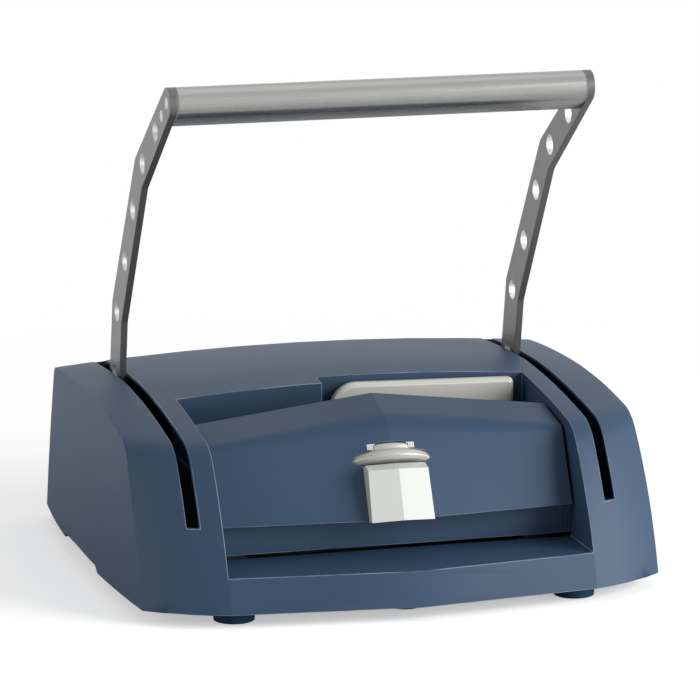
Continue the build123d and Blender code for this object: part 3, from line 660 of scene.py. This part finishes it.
class MACHINE_OT_mouldings(bpy.types.Operator):
    """Housing, hood and apron in grained blue-grey plastic, and the rubber feet"""

    bl_idname = "machine.mouldings"
    bl_label = "Mouldings"

    def execute(self, context):
        look = context.scene.moulding
        # The rounded edges of the mouldings get a paler material of their own, a painted highlight.
        plastic, highlighted = moulded_plastic(), painted_edge_highlight()
        lip = (look.lip_fold, look.lip_top)
        folds = {"housing": lip, "front_panel": FULL_FOLD, "inner_apron": None}
        for node, fold in folds.items():
            skin(
                node, plastic, "housing_plastic", look.edge, look.sharp,
                edge=highlighted, fold=fold, crisp_beyond=look.crisp_beyond,
            )
        rubber = foot_rubber()
        for node in ("front_feet", "centre_foot", "rear_feet"):
            skin(node, rubber, "foot_rubber", look.edge, look.sharp)
        return {"FINISHED"}


class MACHINE_OT_handle(bpy.types.Operator):
    """Arms, hand tube, end caps and screws"""

    bl_idname = "machine.handle"
    bl_label = "Handle"

    def execute(self, context):
        look = context.scene.handle
        steel = context.scene.metal
        paint = arm_paint()
        bare = metal("bored_steel", look.bore, rough=0.34, stretch=(0.2, 1, 1), scale=500.0)
        for node in ("arm_left", "arm_right"):
            bore_bright(skin(node, paint, "arm_paint", look.edge), bare)
        skin("handle_tube", tube_aluminium(), "tube_aluminium", 0)
        skin("tube_end_caps", cap_plastic(), "cap_plastic", look.edge / 2)
        zinc = metal("zinc_plate", steel.ground, rough=0.26, stretch=(1, 1, 1), scale=500.0)
        for node in ("tube_screws", "shaft_nuts", "shaft_spacers"):
            skin(node, zinc, "fasteners", look.edge / 2)
        return {"FINISHED"}


class MACHINE_OT_steelwork(bpy.types.Operator):
    """The steel frame, the shaft, the jaws and their rods"""

    bl_idname = "machine.steelwork"
    bl_label = "Steelwork"

    def execute(self, context):
        look = context.scene.metal
        coat = powder_coat()
        for node in (
            "base_plate", "side_frame_left", "side_frame_right", "front_beam", "rear_beam",
            "selector_bracket",
        ):
            skin(node, coat, "frame_steel", look.edge)
        ground = metal("ground_steel", look.ground, rough=0.18, stretch=(1, 1, 1), scale=700.0)
        for node in ("guide_rods", "cross_shaft", "wheel_spindle", "follower_noses"):
            skin(node, ground, "ground_steel", look.edge)
        machined = metal(
            "machined_steel", look.machined, rough=0.30, stretch=(0.05, 1, 1), scale=600.0
        )
        for node in (
            "rear_jaw_bar", "rear_jaw_carriers", "front_jaw_bar", "front_jaw_carriers",
            "front_jaw_follower", "channel_rest", "rod_blocks", "cam_left", "cam_right",
            "scroll_cam",
        ):
            skin(node, machined, "jaw_steel", look.edge)
        brass = metal("bush_brass", look.brass, rough=0.25, stretch=(0.2, 1, 1), scale=500.0)
        skin("shaft_bushes", brass, "bush_brass", look.edge)
        zinc = metal("zinc_screws", look.ground, rough=0.26, stretch=(1, 1, 1), scale=500.0)
        for node in ("foot_screws", "housing_screws"):
            skin(node, zinc, "fasteners", look.edge / 2)
        return {"FINISHED"}


class MACHINE_OT_selector(bpy.types.Operator):
    """Thumb wheel, grip and marked scale plates"""

    bl_idname = "machine.selector"
    bl_label = "Selector"

    def execute(self, context):
        look = context.scene.selector
        hinge = HINGES["dial_turn"]
        pearl = pearl_plastic("pearl_grip", look.pearl, shaded(look.pearl, 0.93))
        skin("selector_grip", pearl, "selector_plastic", look.edge, fold=FULL_FOLD)
        profile = softened(np.array(WHEEL_PROFILE), WHEEL_ROUNDS) * MM
        points = revolve(profile, hinge["pos_m"], hinge["axis"], look.around)
        satin = pearl_plastic("wheel_plastic", look.wheel, shaded(look.wheel, 0.86))
        wheel = surface("thumb_wheel", points, satin, wrap_rows=True)
        place_piece(wheel, "dial", "selector_plastic", "size_wheel")
        scale = printed("scale_white", look.plate, look.ink, look.pitch)
        skin("scale_plates", scale, "scale_white", 0)
        return {"FINISHED"}


class MACHINE_OT_hand_tool(bpy.types.Operator):
    """The hand tool that lies in its pocket"""

    bl_idname = "machine.hand_tool"
    bl_label = "Hand tool"

    def execute(self, context):
        look = context.scene.tool
        steel = context.scene.metal
        shell = pearl_plastic("tool_shell", look.shell, shaded(look.shell, 0.88))
        skin("tool_body", shell, "tool_plastic", look.edge)
        blade = metal("blade_steel", steel.ground, rough=0.2, stretch=(0.1, 1, 1), scale=500.0)
        skin("tool_blade", blade, "blade_steel", 0)
        return {"FINISHED"}


class MACHINE_OT_springs(bpy.types.Operator):
    """The two return springs, round wire on the guide rods, each made in a front and a rear half"""

    bl_idname = "machine.springs"
    bl_label = "Springs"

    def execute(self, context):
        look = context.scene.metal
        low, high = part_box("return_springs")
        rod_low, rod_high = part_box("guide_rods")
        rod = (rod_high.z - rod_low.z) / 2
        middle_x, middle_z = rod_high.x - rod, (rod_high.z + rod_low.z) / 2
        radius = rod + SPRING_CLEARANCE + SPRING_WIRE
        steel = metal("spring_steel", look.machined, rough=0.24, stretch=(1, 1, 1), scale=800.0)
        reach = (high.y - low.y) / 2
        half = SPRING_STEPS // 2
        halves = (
            ("front", "front_jaw_slide", slice(None, half + 1)),
            ("rear", "rear_jaw_slide", slice(half, None)),
        )
        for side, name in ((-1, "left"), (1, "right")):
            start = (side * middle_x, low.y + SPRING_WIRE, middle_z)
            stop = (side * middle_x, high.y - SPRING_WIRE, middle_z)
            points = coil(start, stop, radius, SPRING_WIRE, look.turns, SPRING_STEPS, SPRING_SIDES)
            for end, slide, part in halves:
                travel = max(abs(limit) for limit in HINGES[slide]["range_m"])
                spring = surface(f"spring_{name}_{end}", capped(points[part]), steel, wrap_rows=False)
                place_piece(spring, "base", "spring_steel", "return_springs")
                1 - travel / reach
                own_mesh(spring)
        return {"FINISHED"}


class MACHINE_OT_stage(bpy.types.Operator):
    """Pale floor, soft studio lamps and the camera"""

    bl_idname = "machine.stage"
    bl_label = "Stage"

    def execute(self, context):
        look = context.scene.stage
        scene = context.scene
        scene.view_settings.view_transform = "Standard"
        self.floor(look)
        self.world(look)
        self.lamp("key_lamp", look.key, place=(2.3, -1.7, 0.85), size=2.1, sheen=0.45)
        self.lamp("top_lamp", look.top, place=(0.2, 0.3, 2.6), size=1.8, sheen=1.0)
        self.lamp("fill_lamp", look.fill, place=(-2.6, -0.5, 0.9), size=1.6, sheen=0.6)
        camera = bpy.data.cameras.new("camera")
        camera.lens = look.lens
        camera.sensor_width = SENSOR
        camera.clip_end = 100.0
        eye = bpy.data.objects.new("camera", camera)
        away = Vector((
            math.sin(look.swing) * math.cos(look.drop),
            -math.cos(look.swing) * math.cos(look.drop),
            math.sin(look.drop),
        ))
        eye.location = look.camera
        eye.rotation_euler = (-away).to_track_quat("-Z", "Y").to_euler()
        scene.collection.objects.link(eye)
        scene.camera = eye
        return {"FINISHED"}

    def floor(self, look):
        """A pale floor that keeps the shadow and fades into the white further out."""
        mesh = bpy.data.meshes.new("floor")
        reach = look.floor_far
        square = [(-reach, -reach, 0), (reach, -reach, 0), (reach, reach, 0), (-reach, reach, 0)]
        mesh.from_pydata(square, [], [(0, 1, 2, 3)])
        glow = look.floor_glow
        finish = Finish("floor", roughness=0.9, specular_ior_level=0.1, emission_strength=glow)
        mottled(finish, look.floor, shaded(look.floor, 0.995), scale=1.5)
        seen = finish.add("ShaderNodeLightPath", {}, {}, "Is Camera Ray")
        finish.show("Emission Color", finish.blend(seen, BLACK, WHITE))
        spread = finish.add("ShaderNodeVectorMath", {"operation": "LENGTH"}, {0: finish.place()}, 1)
        finish.show("Alpha", finish.steps(spread, look.floor_far, look.floor_near))
        mesh.materials.append(finish.material)
        floor = bpy.data.objects.new("floor", mesh)
        bpy.context.scene.collection.objects.link(floor)

    def world(self, look):
        """White to the camera and in reflections, plain even light otherwise."""
        world = bpy.data.worlds.new("studio")
        bpy.context.scene.world = world
        world.use_nodes = True
        nodes = Nodes(world.node_tree)
        camera = nodes.add("ShaderNodeLightPath", {}, {}, "Is Camera Ray")
        glossy = nodes.add("ShaderNodeLightPath", {}, {}, "Is Glossy Ray")
        seen = nodes.maths("MAXIMUM", camera, glossy)
        levels = {"Value": seen, "To Min": look.sky, "To Max": 1.0}
        back = nodes.tree.nodes["Background"].inputs
        nodes.feed(back["Strength"], nodes.add("ShaderNodeMapRange", {}, levels))
        nodes.feed(back["Color"], solid(WHITE))

    def lamp(self, name, power, place, size, sheen):
        """A soft square lamp that faces the machine; its sheen is its share in reflections."""
        light = bpy.data.lights.new(name, "AREA")
        light.energy = power
        light.size = size
        light.specular_factor = sheen
        lamp = bpy.data.objects.new(name, light)
        lamp.location = place
        aim = Vector(AIM) - Vector(place)
        lamp.rotation_euler = aim.to_track_quat("-Z", "Y").to_euler()
        bpy.context.scene.collection.objects.link(lamp)


class MACHINE_PT_panel(bpy.types.Panel):
    """Lists the pieces and the stage"""

    bl_idname = "MACHINE_PT_panel"
    bl_label = "Channel binding machine"
    bl_space_type = "VIEW_3D"
    bl_region_type = "UI"
    bl_category = "Binding"

    def draw(self, context):
        for operator in OPERATORS:
            self.layout.operator(operator.bl_idname)


SETTINGS = {
    "moulding": MouldingSettings,
    "handle": HandleSettings,
    "metal": MetalSettings,
    "selector": SelectorSettings,
    "tool": ToolSettings,
    "stage": StageSettings,
}
OPERATORS = (
    MACHINE_OT_stage,
    MACHINE_OT_mouldings,
    MACHINE_OT_handle,
    MACHINE_OT_steelwork,
    MACHINE_OT_selector,
    MACHINE_OT_hand_tool,
    MACHINE_OT_springs,
)


def register():
    """Registers the settings, the operators and the panel."""
    for name, group in SETTINGS.items():
        bpy.utils.register_class(group)
        setattr(bpy.types.Scene, name, PointerProperty(type=group))
    for operator in OPERATORS:
        bpy.utils.register_class(operator)
    bpy.utils.register_class(MACHINE_PT_panel)


def unregister():
    """Takes back what register did."""
    bpy.utils.unregister_class(MACHINE_PT_panel)
    for operator in reversed(OPERATORS):
        bpy.utils.unregister_class(operator)
    for name, group in reversed(SETTINGS.items()):
        delattr(bpy.types.Scene, name)
        bpy.utils.unregister_class(group)


def main():
    """Makes every piece in turn."""
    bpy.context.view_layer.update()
    register()
    for operator in OPERATORS:
        group, name = operator.bl_idname.split(".")
        getattr(getattr(bpy.ops, group), name)()
    bpy.context.view_layer.update()


if __name__ == "__main__":
    main()
